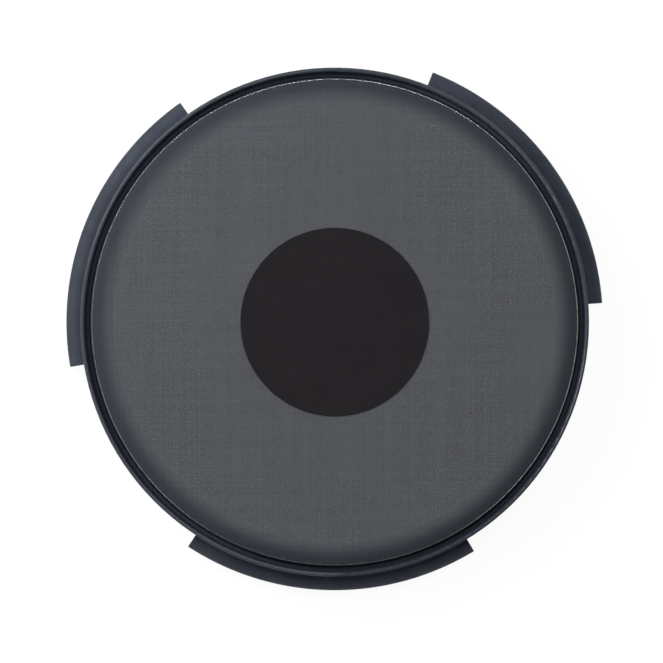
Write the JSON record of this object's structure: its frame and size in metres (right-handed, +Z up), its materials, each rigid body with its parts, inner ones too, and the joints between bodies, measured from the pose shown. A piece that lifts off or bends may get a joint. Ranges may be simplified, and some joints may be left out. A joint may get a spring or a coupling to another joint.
{
  "type": "practice pad",
  "caption": "Round drum practice pad: a tensioned mesh head in a plastic rim, a thin damping disc on the mesh, and flexible grips that close round a drum hoop.",
  "frame": {"origin": "on the pad's axis, in the middle height of the grips' land, which closes under the drum hoop's edge", "axes": "+Z up, to the playing side; +X to the right and +Y away from the player; the front grip points to -Y"},
  "size_m": [0.3829, 0.3727, 0.0388],
  "materials": {
    "frame_plastic": "fine moulded texture, slate grey",
    "rim_plastic": "satin moulded, slate grey",
    "ring_plastic": "moulded, near black",
    "grip_rubber": "matte, fine grain",
    "mesh_cloth": "open woven mesh",
    "disc_foam": "matte, fine grain",
    "hem_plastic": "extruded",
    "wire_steel": "polished",
    "screw_steel": "zinc plated",
    "black_steel": "black oxide",
    "insert_brass": "turned"
  },
  "bodies": {
    "frame": {"lower_frame": "frame_plastic", "rim_hoop": "rim_plastic", "rim_screws": "black_steel", "screw_inserts": "insert_brass", "hem_rod": "hem_plastic"},
    "tension_ring": {"tension_ring": "ring_plastic", "bearing_wire": "wire_steel", "mesh_sheet": "mesh_cloth", "mesh_skirt": "mesh_cloth", "damping_disc": "disc_foam"},
    "grip_right": {"grip_right": "grip_rubber"},
    "grip_left": {"grip_left": "grip_rubber"},
    "grip_front": {"grip_front": "grip_rubber"},
    "tension_screw_1": {"tension_screw_1": "screw_steel"},
    "tension_screw_2": {"tension_screw_2": "screw_steel"},
    "tension_screw_3": {"tension_screw_3": "screw_steel"},
    "tension_screw_4": {"tension_screw_4": "screw_steel"},
    "tension_screw_5": {"tension_screw_5": "screw_steel"},
    "tension_screw_6": {"tension_screw_6": "screw_steel"},
    "tension_screw_7": {"tension_screw_7": "screw_steel"},
    "tension_screw_8": {"tension_screw_8": "screw_steel"}
  },
  "joints": [
    {"name": "tension_lift", "type": "slide", "parent": "frame", "child": "tension_ring", "axis": [0, 0, 1], "range_m": [-0.0025, 0.0015], "deforming": ["mesh_skirt"]},
    {"name": "grip_right_slide", "type": "hinge", "parent": "frame", "child": "grip_right", "pos_m": [0, 0, 0.01], "axis": [0, 0, 1], "range_deg": [-20, 20]},
    {"name": "grip_left_slide", "type": "hinge", "parent": "frame", "child": "grip_left", "pos_m": [0, 0, 0.01], "axis": [0, 0, 1], "range_deg": [-20, 20]},
    {"name": "grip_front_slide", "type": "hinge", "parent": "frame", "child": "grip_front", "pos_m": [0, 0, 0.01], "axis": [0, 0, 1], "range_deg": [-20, 20]},
    {"name": "tension_screw_1_turn", "type": "hinge", "parent": "tension_ring", "child": "tension_screw_1", "pos_m": [0.1642, 0, 0.02], "axis": [0, 0, 1], "range_deg": [-1290, 780]},
    {"name": "tension_screw_2_turn", "type": "hinge", "parent": "tension_ring", "child": "tension_screw_2", "pos_m": [0.11611, 0.11611, 0.02], "axis": [0, 0, 1], "range_deg": [-1290, 780]},
    {"name": "tension_screw_3_turn", "type": "hinge", "parent": "tension_ring", "child": "tension_screw_3", "pos_m": [0, 0.1642, 0.02], "axis": [0, 0, 1], "range_deg": [-1290, 780]},
    {"name": "tension_screw_4_turn", "type": "hinge", "parent": "tension_ring", "child": "tension_screw_4", "pos_m": [-0.11611, 0.11611, 0.02], "axis": [0, 0, 1], "range_deg": [-1290, 780]},
    {"name": "tension_screw_5_turn", "type": "hinge", "parent": "tension_ring", "child": "tension_screw_5", "pos_m": [-0.1642, 0, 0.02], "axis": [0, 0, 1], "range_deg": [-1290, 780]},
    {"name": "tension_screw_6_turn", "type": "hinge", "parent": "tension_ring", "child": "tension_screw_6", "pos_m": [-0.11611, -0.11611, 0.02], "axis": [0, 0, 1], "range_deg": [-1290, 780]},
    {"name": "tension_screw_7_turn", "type": "hinge", "parent": "tension_ring", "child": "tension_screw_7", "pos_m": [0, -0.1642, 0.02], "axis": [0, 0, 1], "range_deg": [-1290, 780]},
    {"name": "tension_screw_8_turn", "type": "hinge", "parent": "tension_ring", "child": "tension_screw_8", "pos_m": [0.11611, -0.11611, 0.02], "axis": [0, 0, 1], "range_deg": [-1290, 780]}
  ],
  "couplings": [
    {"joint": "tension_screw_1_turn", "follows": "tension_lift", "rad_per_m": 8976},
    {"joint": "tension_screw_2_turn", "follows": "tension_lift", "rad_per_m": 8976},
    {"joint": "tension_screw_3_turn", "follows": "tension_lift", "rad_per_m": 8976},
    {"joint": "tension_screw_4_turn", "follows": "tension_lift", "rad_per_m": 8976},
    {"joint": "tension_screw_5_turn", "follows": "tension_lift", "rad_per_m": 8976},
    {"joint": "tension_screw_6_turn", "follows": "tension_lift", "rad_per_m": 8976},
    {"joint": "tension_screw_7_turn", "follows": "tension_lift", "rad_per_m": 8976},
    {"joint": "tension_screw_8_turn", "follows": "tension_lift", "rad_per_m": 8976}
  ]
}
